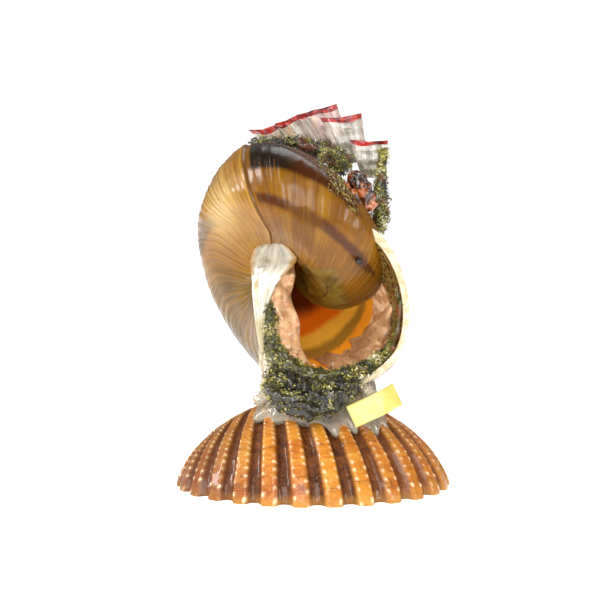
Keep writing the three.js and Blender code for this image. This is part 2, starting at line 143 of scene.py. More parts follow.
def tint(red, green, blue):
    """A shader colour from its usual 0 to 255 values."""
    return tuple(((c / 255 + 0.055) / 1.055) ** 2.4 if c > 10 else c / 3295 for c in (red, green, blue))


def smooth_step(value, low, high):
    share = np.clip((value - low) / (high - low), 0, 1)
    return share * share * (3 - 2 * share)


def follow(path, count):
    """Even steps along a smooth curve through the points of a path."""
    path = np.asarray(path, float)
    padded = np.vstack([2 * path[0] - path[1], path, 2 * path[-1] - path[-2]])
    points = []
    for place in np.linspace(0, len(path) - 1, count):
        first = min(int(place), len(path) - 2)
        u = place - first
        a, b, c, d = padded[first:first + 4]
        points.append(0.5 * (2 * b + (c - a) * u + (2 * a - 5 * b + 4 * c - d) * u ** 2
                             + (3 * b - a - 3 * c + d) * u ** 3))
    return np.array(points)


# ---- material helpers

class Surface:
    """A procedural material round one Principled shader. A colour of three parts is 0 to 255."""

    def __init__(self, name, **settings):
        self.material = bpy.data.materials.new(name)
        self.material.use_nodes = True
        self.nodes = self.material.node_tree.nodes
        self.links = self.material.node_tree.links
        self.shader = self.nodes["Principled BSDF"]
        for key, value in settings.items():
            self.shader.inputs[key.replace("_", " ")].default_value = value
        self.place = self.nodes.new("ShaderNodeTexCoord").outputs["Object"]

    def node(self, kind, inputs=(), **options):
        made = self.nodes.new(kind)
        for key, value in options.items():
            setattr(made, key, value)
        for key, value in dict(inputs).items():
            self.feed(made.inputs[key], value)
        return made

    def feed(self, socket, value):
        if isinstance(value, bpy.types.NodeSocket):
            self.links.new(value, socket)
        elif isinstance(value, tuple) and len(value) == 3 and socket.type == "RGBA":
            socket.default_value = (*tint(*value), 1)
        else:
            socket.default_value = value

    def attribute(self, name):
        return self.node("ShaderNodeAttribute", attribute_name=name).outputs["Fac"]

    def math(self, operation, first, second=0.0):
        return self.node("ShaderNodeMath", {0: first, 1: second}, operation=operation).outputs[0]

    def times(self, first, second):
        return self.math("MULTIPLY", first, second)

    def plus(self, first, second):
        return self.math("ADD", first, second)

    def minus(self, first, second):
        return self.math("SUBTRACT", first, second)

    def shaken(self, value, noise, depth):
        """A value moved up and down by noise."""
        return self.plus(value, self.times(self.minus(noise, 0.5), depth))

    def noise(self, millimetres, vector=None, detail=3.0, rough=0.55):
        """Noise with lumps of about this size in object space, or in the units of its own vector."""
        vector = vector or self.place
        scale = 1 / (millimetres * MM) if vector == self.place else 1 / millimetres
        return self.node(
            "ShaderNodeTexNoise",
            {"Vector": vector, "Scale": scale, "Detail": detail, "Roughness": rough},
        ).outputs["Fac"]

    def vector(self, x, y):
        return self.node("ShaderNodeCombineXYZ", {0: x, 1: y}).outputs[0]

    def rise(self, value, low, high, most=1.0):
        """0 below low and most above high, smooth between; high may be under low."""
        return self.node(
            "ShaderNodeMapRange",
            {"Value": value, "From Min": low, "From Max": high, "To Max": most},
            interpolation_type="SMOOTHSTEP",
        ).outputs[0]

    def band(self, value, low, high, soft):
        rising = self.rise(value, low - soft, low + soft)
        return self.times(rising, self.rise(value, high + soft, high - soft))

    def mix(self, share, first, second, blend="MIX"):
        """Two colours mixed; inputs 6 and 7 of the node are its colours."""
        made = self.node("ShaderNodeMix", data_type="RGBA", blend_type=blend)
        self.feed(made.inputs[0], share)
        self.feed(made.inputs[6], first)
        self.feed(made.inputs[7], second)
        return made.outputs[2]

    def blend(self, value, low, high, first, second, most=1.0):
        """The first colour below low, and the second above high, up to a share of most."""
        return self.mix(self.rise(value, low, high, most), first, second)

    def ramp(self, value, colour, *stops):
        """Turns into the colour of each stop between its two values."""
        for low, high, following in stops:
            colour = self.blend(value, low, high, colour, following)
        return colour

    def colour(self, socket):
        self.feed(self.shader.inputs["Base Color"], socket)

    def rough(self, socket, low, high):
        made = self.node("ShaderNodeMapRange", {"Value": socket, "To Min": low, "To Max": high})
        self.feed(self.shader.inputs["Roughness"], made.outputs[0])

    def bump(self, *layers):
        """Stacks bumps, each a height and the depth in millimetres that it stands for."""
        normal = None
        for height, depth in layers:
            made = self.node("ShaderNodeBump", {"Height": height, "Distance": depth * MM})
            if normal:
                self.feed(made.inputs["Normal"], normal)
            normal = made.outputs[0]
        self.feed(self.shader.inputs["Normal"], normal)


# ---- camera, light, floor

VIEW_DISTANCE = 420 * MM
VIEW_ELEVATION = math.radians(6.5)
VIEW_TARGET = np.array([-2.34, 0.16, 33.58]) * MM
LENS = 140
ROOM_STRENGTH, PAPER_STRENGTH = 0.2, 1.1
FLOOR_GLOW = 0.8
FLOOR_HALF = 900
LIGHT_TARGET = (0, 0, 0.035)
# Name, place and size in metres, and watts of each light.
LIGHTS = [
    ("key_left", (-0.36, 0.02, 0.25), (0.08, 0.16), 1.1),
    ("front_soft", (-0.1, -0.42, 0.3), (0.34, 0.3), 2.4),
    ("fill_right", (0.34, -0.2, 0.14), (0.08, 0.12), 0.5),
    ("top_back", (0.04, 0.16, 0.36), (0.3, 0.2), 0.7),
]


def aim(thing, target):
    direction = mathutils.Vector(np.asarray(target, float) - np.asarray(thing.location))
    thing.rotation_euler = direction.to_track_quat("-Z", "Y").to_euler()


def add_camera():
    data = bpy.data.cameras.new("camera")
    data.lens = LENS
    data.sensor_width = 36
    data.clip_start = 0.01
    camera = bpy.data.objects.new("camera", data)
    back = np.array([0, -math.cos(VIEW_ELEVATION), math.sin(VIEW_ELEVATION)])
    camera.location = VIEW_TARGET + back * VIEW_DISTANCE
    bpy.context.collection.objects.link(camera)
    aim(camera, VIEW_TARGET)
    bpy.context.scene.camera = camera


def add_light(name, place, size, watts):
    data = bpy.data.lights.new(name, "AREA")
    data.shape = "RECTANGLE"
    data.size, data.size_y = size
    data.energy = watts
    light = bpy.data.objects.new(name, data)
    light.location = place
    bpy.context.collection.objects.link(light)
    aim(light, LIGHT_TARGET)


def add_studio():
    bpy.context.scene.view_settings.view_transform = "Standard"
    world = bpy.data.worlds.new("studio")
    bpy.context.scene.world = world
    world.use_nodes = True
    nodes, links = world.node_tree.nodes, world.node_tree.links
    # The room is dimmer than the white paper behind the object, which only the camera sees.
    path = nodes.new("ShaderNodeLightPath")
    strength = nodes.new("ShaderNodeMapRange")
    strength.inputs["To Min"].default_value = ROOM_STRENGTH
    strength.inputs["To Max"].default_value = PAPER_STRENGTH
    links.new(path.outputs["Is Camera Ray"], strength.inputs["Value"])
    nodes["Background"].inputs["Color"].default_value = (1, 1, 1, 1)
    links.new(strength.outputs[0], nodes["Background"].inputs["Strength"])
    for light in LIGHTS:
        add_light(*light)
    floor = Surface("floor_white", Roughness=0.9, Emission_Color=(1, 1, 1, 1), Emission_Strength=FLOOR_GLOW)
    floor.colour(floor.mix(floor.noise(40), (0.97, 0.97, 0.97, 1), (0.985, 0.985, 0.985, 1)))
    steps = np.linspace(-FLOOR_HALF, FLOOR_HALF, 9)
    grid = np.array([[x, y, 0] for y in steps for x in steps])
    make_object("floor", grid, loft_faces(9, 9, closed=False), floor.material)


add_camera()
add_studio()


# ---- cockle valve

VALVE_HALF = np.array([24.6, 21.6])
VALVE_HEIGHT = 16.0
VALVE_DOME_POWER = 0.7
VALVE_WALL, VALVE_RIM = 1.5, 2.0
BEAK = np.array([-8.0, 16.3])
BEAK_RISE, BEAK_SPREAD = 3.0, 3.5
RIB_COUNT = 22
RIB_COLUMNS, HINGE_COLUMNS, VALVE_RINGS = 20, 34, 120
RIB_PITCH = math.radians(13.45)
RIB_PHASE = math.radians(0.7)
RIB_START = RIB_PHASE - RIB_COUNT * RIB_PITCH / 2
# Shares of the pitch: where a rib starts and ends rising and falling, and where its knobs sit.
RIB_UP, RIB_DOWN = (0.15, 0.42), (0.74, 0.99)
KNOB_PLACES, KNOB_WIDTH = (0.4, 0.78), 0.04
KNOB_SPACING, SCALE_SPACING = 0.95, 1.3  # along a rib and along a groove
INNER_SPREADS = np.array([1, 0.97, 0.9, 0.8, 0.65, 0.5, 0.35, 0.2, 0.08])


def dome(plan, inset):
    """Height and outward normal of the valve's dome over points in plan."""
    half = VALVE_HALF - inset
    height = VALVE_HEIGHT - min(inset, VALVE_WALL)
    fall = np.clip(1 - (plan[..., 0] / half[0]) ** 2 - (plan[..., 1] / half[1]) ** 2, 0, 1)
    steep = 2 * VALVE_DOME_POWER * height * np.maximum(fall, 0.01) ** (VALVE_DOME_POWER - 1)
    beak = BEAK_RISE * np.exp(-((plan - BEAK) ** 2).sum(-1) / (2 * BEAK_SPREAD ** 2))
    normal = np.stack([steep * plan[..., 0] / half[0] ** 2, steep * plan[..., 1] / half[1] ** 2,
                       (fall > 0) * 1.0], -1)
    normal /= np.linalg.norm(normal, axis=-1, keepdims=True)
    return height * fall ** VALVE_DOME_POWER + beak * np.minimum(fall * 6, 1), normal


def rib_profile(phase):
    """Height of the valve's surface across one rib, 0 in the groove and 1 on the flat top."""
    return smooth_step(phase, *RIB_UP) * (1 - smooth_step(phase, *RIB_DOWN))


def cockle_grid(spreads, angles, inset):
    """Plan, dome points and normals of rings spread from the beak out to the margin."""
    edge = (VALVE_HALF - inset) * np.stack([np.sin(angles), -np.cos(angles)], -1)
    beak = BEAK - np.array([0, inset])
    plan = beak + (edge[None] - beak) * spreads[:, None, None]
    height, normal = dome(plan, inset)
    return plan, np.dstack([plan, height]), normal


def cockle_material():
    m = Surface("cockle_shell", Roughness=0.32, Coat_Weight=0.28, Coat_Roughness=0.08, Specular_IOR_Level=0.3)
    rib, grow, knob = map(m.attribute, ("rib", "grow", "knob"))
    patchy = m.noise(8, detail=4)
    across = m.noise(1.3, detail=5, rough=0.7)
    rings = m.noise(0.045, m.vector(grow, m.times(patchy, 0.15)), detail=4, rough=0.7)
    top = m.blend(patchy, 0.35, 0.65, (198, 110, 24), (230, 156, 54))
    top = m.blend(rings, 0.5, 0.68, top, (240, 184, 92))
    top = m.blend(rings, 0.45, 0.3, top, (150, 76, 16))
    top = m.blend(across, 0.56, 0.75, top, (236, 178, 92))
    groove = m.blend(across, 0.35, 0.7, (74, 36, 10), (132, 74, 26))
    groove = m.blend(rings, 0.55, 0.65, groove, (146, 86, 32))
    shell = m.blend(rib, 0.3, 1.0, groove, top)
    # Painted glints: tiny pale specks on the ribs stand in for sparkling highlights.
    glint = m.times(m.rise(m.noise(0.3, detail=2), 0.62, 0.7), m.rise(rib, 0.3, 0.9))
    shell = m.mix(m.times(glint, 0.45), shell, (250, 222, 168))
    across_valve = m.node("ShaderNodeSeparateXYZ", {0: m.place}).outputs[0]
    shell = m.blend(across_valve, 0.004, 0.02, shell, (168, 96, 36), 0.35)
    shell = m.blend(grow, 0.982, 0.998, shell, (206, 152, 92), 0.4)
    shell = m.mix(1.0, shell, (0.8, 0.72, 0.42, 1), "MULTIPLY")
    # Painted shade: the left side of the valve is darkened.
    shell = m.blend(across_valve, -0.006, -0.02, shell, (104, 54, 20), 0.65)
    # The knobs are pale: partly their own colour, partly a painted highlight on each.
    shell = m.mix(m.math("MINIMUM", m.times(knob, 1.6), 0.85), shell, (250, 224, 176))
    inside = m.rise(m.attribute("inside"), 0.4, 0.6)
    m.colour(m.mix(inside, shell, m.mix(across, (214, 190, 166), (236, 220, 204))))
    m.rough(m.mix(rib, (0.8, 0.8, 0.8, 1), across), 0.16, 0.55)
    m.bump((rings, 0.4), (across, 0.2), (m.noise(0.35, detail=2), 0.1))
    return m.material


def add_cockle():
    turns = RIB_START + RIB_COUNT * RIB_PITCH * np.linspace(0, 1, RIB_COUNT * RIB_COLUMNS, endpoint=False)
    hinge = np.linspace(RIB_START + RIB_COUNT * RIB_PITCH, RIB_START + TAU, HINGE_COLUMNS, endpoint=False)
    angles = np.concatenate([turns, hinge])
    spreads = np.sin(np.linspace(0.02, 1, VALVE_RINGS) * math.pi / 2) ** 0.85
    plan, flat, normal = cockle_grid(spreads, angles, 0)
    place = (angles - RIB_START) / RIB_PITCH
    ribbed = (place < RIB_COUNT) * smooth_step(place, -0.1, 0.6)
    ribbed = ribbed * (1 - smooth_step(place, RIB_COUNT - 0.5, RIB_COUNT))
    phase = place % 1
    fine = 0.9 + 0.1 * np.sin(angles * 90)
    rib = np.where(place < RIB_COUNT, rib_profile(phase), fine)[None] * np.ones(len(spreads))[:, None]
    reach = spreads[:, None]
    run = np.cumsum(np.linalg.norm(np.diff(plan, axis=0, prepend=plan[:1]), axis=-1), axis=0)
    edge = sum(np.exp(-((phase - at) / KNOB_WIDTH) ** 2) for at in KNOB_PLACES)
    knob = edge[None] * np.maximum(np.sin(run * TAU / KNOB_SPACING + place.astype(int) * 1.7), 0) ** 2
    knob = knob * (place < RIB_COUNT) * smooth_step(reach, 0.25, 0.5) * (0.6 + 0.4 * ripple(flat, 4, 12))
    scales = 0.1 * np.sin(run * TAU / SCALE_SPACING) * (phase[None] < 0.3)
    rise = (0.4 - 1.35 * (1 - rib)) * reach * ribbed[None]
    rough = 0.1 * ripple(flat, 7, 3) + 0.03 * ripple(flat, 1.1, 4)
    rise = rise + (0.24 * knob + 0.05 * scales + rough) * reach
    rise = np.minimum(rise, 0.28 + 0.2 * knob) - 0.1 * smooth_step(reach, 0.8, 1)
    outer = flat + normal * rise[..., None]
    lift = 0.45 * (1 - rib) * smooth_step(reach, 0.9, 1)
    outer[..., 2] = np.maximum(outer[..., 2] + lift, 0)
    outer[-1, :, 2] = lift[-1]
    _, inner, _ = cockle_grid(INNER_SPREADS, angles, VALVE_RIM)
    inner[0, :, 2] = 0
    bare = np.zeros(inner.shape[:2])
    marks = {
        "rib": np.concatenate([rib, bare]),
        "grow": np.concatenate([reach * np.ones(len(angles)), bare + 1]),
        "knob": np.concatenate([knob, bare]),
        "inside": np.concatenate([np.zeros_like(rib), bare + 1]),
    }
    piece = make_object("cockle_valve", *closed_loft(np.concatenate([outer, inner])), cockle_material(),
                        {key: poled(values) for key, values in marks.items()})
    face_outward(piece)
    settle(piece, "cockle_base")


add_cockle()


# ---- snail shell

WHORL_RATIO = 1.812
MOUTH_OFFSET, MOUTH_DROP = 12.64, 18.76
MOUTH_HALF = (15.25, 11.11)
MOUTH_POWER, MOUTH_TURN, MOUTH_LEAN, MOUTH_BOW = 1.711, 0.195, 0.812, -3.21
COLUMELLA_RADIUS, COLUMELLA_BLEND = 0.4, 9.0
SHELL_WALL = 1.2
APEX = np.array([7.64, 6.59, 49.77])
SHELL_SPIN, SHELL_TILT, SHELL_ROLL = -0.487, -0.53, 0.984
SEAM = 2.35  # the section starts here, where older whorls hide it
ARREST = -3.6  # age of the old lip that crosses the crown
RIM_SHARES = (0.2, 0.5, 0.8)
NAVEL, NAVEL_REACH = np.array([-6.6, -5.0, 41.4]), np.array([4.4, 6.0, 4.6])
MOUTH_MIDDLE, MOUTH_REACH = np.array([3.0, -6.0, 33.0]), np.array([10.5, 13, 9.0])
SWIRL_MIDDLE, SWIRL_RADIUS, SWIRL_WIDTH = np.array([0.2, 36.6]), 2.3, 0.3
FLANK_MIDDLE, FLANK_REACH = np.array([-16.5, 51]), np.array([3.2, 6])


def turn_matrix(axis, angle):
    cos, sin = math.cos(angle), math.sin(angle)
    a, b = [i for i in range(3) if i != axis]
    matrix = np.eye(3)
    matrix[a, a] = matrix[b, b] = cos
    matrix[a, b], matrix[b, a] = (-sin, sin) if axis != 1 else (sin, -sin)
    return matrix


SHELL_TURN = turn_matrix(1, SHELL_ROLL) @ turn_matrix(0, SHELL_TILT) @ turn_matrix(2, SHELL_SPIN)


def mouth_point(angle, grow=0.0):
    """The growing edge at each angle, in the shell's own frame; grow moves it out of the section."""
    power = 2 / MOUTH_POWER
    cos, sin = np.cos(angle), np.sin(angle)
    wide = (MOUTH_HALF[0] + grow) * np.sign(cos) * np.abs(cos) ** power
    high = (MOUTH_HALF[1] + grow) * np.sign(sin) * np.abs(sin) ** power
    across = wide * math.cos(MOUTH_TURN) - high * math.sin(MOUTH_TURN)
    along = wide * math.sin(MOUTH_TURN) + high * math.cos(MOUTH_TURN)
    forward = math.tan(MOUTH_LEAN) * along + MOUTH_BOW * across / MOUTH_HALF[0]
    radius = np.maximum(MOUTH_OFFSET + across, COLUMELLA_RADIUS - grow)
    forward = forward * smooth_step(radius, 0, COLUMELLA_BLEND)
    return np.stack([radius, -forward, along - MOUTH_DROP], -1)


def at_age(points, turn):
    """Turns points back round the coiling axis by their age, and shrinks them towards the apex."""
    size = np.exp(math.log(WHORL_RATIO) * turn / TAU)
    cos, sin = np.cos(turn), np.sin(turn)
    x = cos * points[..., 0] + sin * points[..., 1]
    y = -sin * points[..., 0] + cos * points[..., 1]
    return np.stack([x, y, points[..., 2]], -1) * size[..., None]


def to_table(points):
    return points @ SHELL_TURN.T + APEX


def snail_wall(turns, angles, grow):
    """Rows of one wall of the shell, one row for each age."""
    angle, turn = np.meshgrid(angles, turns)
    return at_age(mouth_point(angle, grow), turn)


def snail_material():
    # Its emission paints a glow on the inside of the wall, for light shining through it from behind.
    m = Surface("snail_varnished", Roughness=0.3, Coat_Weight=0.18, Coat_Roughness=0.05,
                Specular_IOR_Level=0.22, Emission_Strength=0.38)
    turn, girth, inner = map(m.attribute, ("turn", "girth", "inner"))
    wobble = m.times(m.minus(m.noise(3.5, detail=5, rough=0.7), 0.5), 0.35)
    striae = m.noise(0.035, m.vector(turn, m.times(girth, 0.03)), detail=3, rough=0.7)
    coarse = m.noise(0.22, m.vector(turn, m.times(girth, 0.06)), detail=3)
    cross = m.noise(0.05, m.vector(m.times(turn, 0.1), girth), detail=2)
    cloud = m.noise(7, detail=4)
    speck = m.noise(0.5, detail=3, rough=0.8)
    old = m.blend(cloud, 0.35, 0.7, (126, 82, 12), (158, 108, 24))
    new = m.blend(cloud, 0.35, 0.7, (158, 108, 26), (182, 134, 44))
    lower = m.blend(cloud, 0.3, 0.7, (100, 74, 20), (136, 106, 40))
    body = m.blend(turn, ARREST - 0.02, ARREST + 0.02, old, new)
    body = m.blend(turn, -2.2, -1.2, body, lower)
    body = m.blend(coarse, 0.5, 0.72, body, (194, 148, 60), 0.4)
    body = m.blend(striae, 0.52, 0.72, body, (208, 166, 78), 0.4)
    body = m.blend(striae, 0.47, 0.3, body, (96, 60, 10), 0.5)
    body = m.blend(speck, 0.62, 0.75, body, (202, 152, 60), 0.4)
    # Dark spiral bands: each drifts round the section as it ages, and stops at the old lip.
    drift = m.minus(ARREST, turn)
    before = m.rise(turn, ARREST - 0.08, ARREST - 0.13)
    edge = m.plus(girth, m.times(wobble, 0.35))
    low = m.minus(edge, m.times(drift, 0.52))
    thin = m.band(m.minus(edge, m.times(drift, 0.42)), 4.87, 5.05, 0.05)
    fade = m.minus(1.0, m.times(m.band(turn, -4.65, -4.2, 0.15), 0.5))
    thin = m.times(m.times(thin, before), fade)
    thick = m.times(m.band(low, 5.43, 6.5, 0.05), before)
    thick = m.times(thick, m.rise(turn, -5.3, -5.1))
    ruddy = m.blend(turn, -4.1, -4.4, (14, 8, 12), (74, 36, 26))
    ruddy = m.blend(turn, -4.7, -5.1, ruddy, (80, 28, 20))
    ruddy = m.blend(striae, 0.58, 0.75, ruddy, (150, 100, 70))
    body = m.mix(m.times(thin, 0.9), body, (84, 42, 36))
    body = m.mix(m.times(thick, 0.95), body, ruddy)
    side = m.band(m.plus(edge, m.times(turn, -0.3)), 5.1, 5.5, 0.08)
    side = m.times(side, m.band(turn, -2.6, -1.9, 0.2))
    body = m.mix(m.times(side, 0.85), body, (84, 52, 34))
    crease = m.band(turn, ARREST - 0.05, ARREST - 0.01, 0.02)
    body = m.mix(m.times(crease, 0.75), body, (96, 60, 20))
    bright = m.band(turn, ARREST + 0.01, ARREST + 0.05, 0.02)
    body = m.mix(m.times(bright, 0.5), body, (214, 172, 104))
    # The older whorl that bulges into the mouth has an olive glaze, darkened by painted shade where the lip
    # roofs it over.
    glaze_and_shade = m.blend(m.noise(3, detail=4), 0.35, 0.65, (96, 76, 40), (140, 118, 80))
    body = m.mix(m.attribute("roofed"), body, glaze_and_shade)
    body = m.mix(m.times(m.attribute("swirl"), 0.6), body, (62, 48, 24))
    body = m.mix(m.attribute("lit_side"), body, m.mix(cloud, (100, 66, 22), (170, 116, 40)))
    body = m.mix(1.0, body, (0.62, 0.53, 0.14, 1), "MULTIPLY")
    # Painted highlight: the left flank is painted a paler gold where the light catches it, more along the
    # growth lines.
    flank_highlight = m.times(m.attribute("flank"), m.plus(m.rise(striae, 0.35, 0.6), 0.4))
    body = m.mix(m.times(flank_highlight, 0.36), body, (228, 202, 138))
    # Inside of the wall: painted shade deep in the mouth, then orange and yellow stripes that follow the
    # growth lines, painted as light shining through the thin wall from behind; nearer the lip, waxy putty and
    # moss colours.
    stripe = m.plus(turn, m.times(m.attribute("around"), 0.15))
    stripe = m.plus(stripe, m.times(wobble, 0.3))
    backlit_stripes_and_linings = m.ramp(
        stripe, (60, 38, 22), (-2.2, -1.6, (132, 56, 18)), (-1.62, -1.46, (214, 98, 10)),
        (-1.38, -1.3, (226, 160, 50)), (-1.22, -1.14, (150, 104, 36)), (-1.08, -1.02, (226, 138, 30)))
    waxy = m.blend(m.noise(1.6, detail=4), 0.42, 0.62, (178, 126, 84), (220, 180, 142))
    backlit_stripes_and_linings = m.blend(stripe, -0.9, -0.84, backlit_stripes_and_linings, waxy)
    mossy = m.blend(m.noise(0.8, detail=5), 0.38, 0.66, (70, 44, 20), (142, 116, 58))
    mossy = m.blend(m.noise(0.9, detail=1), 0.7, 0.76, mossy, (206, 92, 34))
    backlit_stripes_and_linings = m.blend(stripe, -0.46, -0.38, backlit_stripes_and_linings, mossy)
    within = m.rise(inner, 0.4, 0.6)
    body = m.mix(within, body, backlit_stripes_and_linings)
    rim = m.times(m.rise(turn, -0.085, -0.03), m.rise(inner, 0.9, 0.6))
    pale = m.blend(m.noise(1.3, detail=4), 0.4, 0.62, (196, 178, 138), (232, 218, 186))
    body = m.mix(rim, body, pale)
    # White callus spread over the navel.
    callus = m.plus(m.attribute("callus"), m.times(wobble, 0.6))
    milky = m.blend(m.noise(2.2, detail=5), 0.35, 0.65, (150, 140, 118), (206, 198, 180))
    body = m.blend(callus, 0.35, 0.6, body, milky, 0.85)
    m.colour(body)
    # Painted glow: the backlit stripes also emit their own colour, standing in for light through the wall.
    glow = m.times(m.band(stripe, -1.55, -0.45, 0.1), within)
    m.feed(m.shader.inputs["Emission Color"], m.mix(glow, (0, 0, 0, 1), backlit_stripes_and_linings))
    m.rough(cloud, 0.14, 0.3)
    m.bump((coarse, 0.2), (striae, 0.12), (cross, 0.02), (speck, 0.05))
    return m.material


def enamel_material():
    m = Surface("snail_callus", Roughness=0.2, Coat_Weight=0.5, Coat_Roughness=0.08)
    low = m.attribute("low")
    streak = m.noise(0.5, m.vector(m.times(m.attribute("across"), 3.0), low), detail=5)
    grey = m.blend(streak, 0.35, 0.65, (118, 108, 86), (168, 158, 136))
    white = m.blend(streak, 0.3, 0.6, (160, 150, 124), (230, 224, 208))
    tone = m.blend(low, 0.28, 0.5, grey, white)
    tone = m.blend(low, 0.7, 0.85, tone, m.mix(streak, (130, 112, 64), (200, 186, 140)))
    lump = m.noise(1.5, detail=4)
    edge = m.shaken(m.attribute("edge"), lump, 0.5)
    m.colour(m.blend(edge, 0.6, 0.15, tone, (150, 108, 42), 0.9))
    m.bump((streak, 0.25), (lump, 0.2))
    return m.material


CALLUS_DEPTH = 0.9  # how far its back sinks into the shell
# Callus over the navel, drawn out into the white inner lip. Each row gives its height, then across
# and back for its left edge, its middle and its right edge.
CALLUS_ROWS = [
    (45.0, (-7.5, -7.0), (-6.9, -7.6), (-6.1, -8.8)),
    (44.3, (-9.2, -5.7), (-7.1, -7.5), (-4.9, -10.0)),
    (43.2, (-10.6, -4.4), (-7.2, -7.2), (-3.6, -10.6)),
    (42.0, (-11.0, -3.8), (-7.3, -6.8), (-2.9, -9.6)),
    (40.8, (-11.2, -3.5), (-7.6, -6.5), (-3.4, -8.4)),
    (39.5, (-11.2, -3.5), (-8.0, -6.5), (-4.5, -7.6)),
    (38.3, (-11.0, -3.9), (-8.5, -6.7), (-5.7, -7.4)),
    (37.0, (-10.9, -4.3), (-8.9, -7.0), (-6.6, -7.3)),
    (35.8, (-10.9, -4.7), (-9.1, -7.4), (-7.1, -7.3)),
    (34.0, (-10.7, -5.3), (-9.3, -7.1), (-7.8, -6.9)),
    (31.9, (-10.5, -5.7), (-9.4, -7.1), (-8.3, -6.7)),
    (29.6, (-10.2, -6.1), (-9.4, -7.0), (-8.4, -6.5)),
    (26.9, (-9.8, -6.1), (-9.1, -6.9), (-8.3, -6.5)),
    (24.8, (-9.2, -6.1), (-8.7, -6.6), (-8.1, -6.3)),
]


def sheet_rings(table, count, columns, thickness, seed, wave):
    """Rings of a bent sheet through rows of left, middle and right points, rounded at its edges."""
    place = np.linspace(0, len(table) - 1, count)
    lanes = [follow([(row[lane][0], row[lane][1], row[0]) for row in table], count) for lane in (1, 2, 3)]
    rings = []
    for step in range(count):
        left, centre, right = (lane[step] for lane in lanes)
        share = np.linspace(0, 1, columns)[:, None]
        front = left * (1 - share) * (1 - 2 * share) + centre * 4 * share * (1 - share)
        front = front + right * share * (2 * share - 1)
        front = front + np.outer(wave * ripple(front, 2.6, seed), [0, 1, 0])
        body = thickness * np.sqrt(np.clip(np.minimum(share, 1 - share)[:, 0] * 8, 0.02, 1))
        body = body * math.sqrt(min(1, 0.05 + 8 * min(step, count - 1 - step) / count))
        front[:, 1] -= body * 0.5
        back = front[::-1].copy()
        back[:, 1] += body[::-1] * 1.5
        rings.append(np.vstack([front, back]))
    return np.array(rings), place


def plane_distance(points, middle, reach=1.0):
    """Distance from a middle in the front plane, across and up, in units of reach."""
    return np.linalg.norm((points[..., [0, 2]] - middle) / reach, axis=-1)


def add_snail():
    angles = SEAM + np.linspace(0, TAU, 168, endpoint=False)
    old = np.linspace(-4 * TAU, -2 * TAU, 70, endpoint=False)
    middle = np.linspace(-2 * TAU, -TAU, 110, endpoint=False)
    turns = np.concatenate([old, middle, np.linspace(-TAU, 0, 230)])
    back = np.linspace(0, -1.6 * math.pi, 120)
    rim = [snail_wall(np.array([0.015]), angles, -SHELL_WALL * share)[0] for share in RIM_SHARES]
    walls = np.concatenate([snail_wall(turns, angles, 0), rim, snail_wall(back, angles, -SHELL_WALL)])
    girth = np.broadcast_to(angles, walls.shape[:2])
    turn = np.broadcast_to(np.concatenate([turns, [0.0] * len(rim), back])[:, None], walls.shape[:2])
    inner = np.zeros(walls.shape[:2])
    inner[len(turns):] = 0.5
    inner[len(turns) + len(rim):] = 1
    placed = to_table(walls)
    ridge = np.exp(-((turn - ARREST) / 0.035) ** 2) * 0.3
    step = 0.25 * smooth_step(turn, ARREST - 0.02, ARREST + 0.06) * (1 - smooth_step(turn, -2.6, -1.6))
    swell = 0.9 * np.exp(-((turn + 3.9) / 0.75) ** 2 - ((girth - 5.9) / 0.9) ** 2)
    lines = 0.07 * np.sin(turn * 55 + 2 * np.sin(turn * 9)) + 0.05 * np.sin(turn * 131)
    proud = (ridge + step + swell + lines * np.exp(math.log(WHORL_RATIO) * turn / TAU)) * (inner == 0)
    proud = proud + 0.06 * ripple(placed, 5, 11) * (inner == 0)
    middle_line = to_table(at_age(np.broadcast_to([MOUTH_OFFSET, 0, -MOUTH_DROP], walls.shape), turn))
    outward = placed - middle_line
    outward /= np.linalg.norm(outward, axis=-1, keepdims=True)
    placed = placed + outward * proud[..., None]
    from_mouth = np.linalg.norm((placed - MOUTH_MIDDLE) / MOUTH_REACH, axis=-1)
    roofed = 1 - smooth_step(from_mouth, 0.95, 1.05)
    spiral = np.exp(-((plane_distance(placed, SWIRL_MIDDLE) - SWIRL_RADIUS) / SWIRL_WIDTH) ** 2)
    marks = {
        "turn": turn,
        "girth": girth,
        "around": np.where(girth > math.pi * 1.5, girth - TAU, girth),
        "inner": inner,
        "callus": 1.2 - np.linalg.norm((placed - NAVEL) / NAVEL_REACH, axis=-1),
        "roofed": roofed,
        "swirl": roofed * spiral * (placed[..., 0] > -1.2),
        "lit_side": roofed * smooth_step(placed[..., 0] + 0.35 * (placed[..., 2] - 33), 5.6, 7.6),
        "flank": np.exp(-plane_distance(placed, FLANK_MIDDLE, FLANK_REACH) ** 2) * (inner == 0),
    }
    piece = make_object("snail", *closed_loft(placed), snail_material(),
                        {key: poled(values) for key, values in marks.items()})
    face_outward(piece)
    settle(piece, "snail_shell")


def add_callus():
    count, columns = 110, 26
    rings, place = sheet_rings(CALLUS_ROWS, count, columns, 0.3, 8, 0.12)
    rings[:, columns:, 1] += CALLUS_DEPTH
    points, faces = closed_loft(rings)
    share = np.concatenate([np.linspace(0, 1, columns), np.linspace(1, 0, columns)])
    across = np.append(np.tile(share, count), [0.5, 0.5])
    low = np.append(np.repeat(place / place[-1], 2 * columns), [0, 1])
    edge = np.minimum(np.minimum(across, 1 - across) * 4 + (low > 0.45), low * 12)
    marks = {"across": across, "low": low, "edge": edge}
    piece = make_object("snail_callus_pad", points, faces, enamel_material(), marks)
    face_outward(piece)
    settle(piece)


add_snail()
add_callus()


# ---- moss

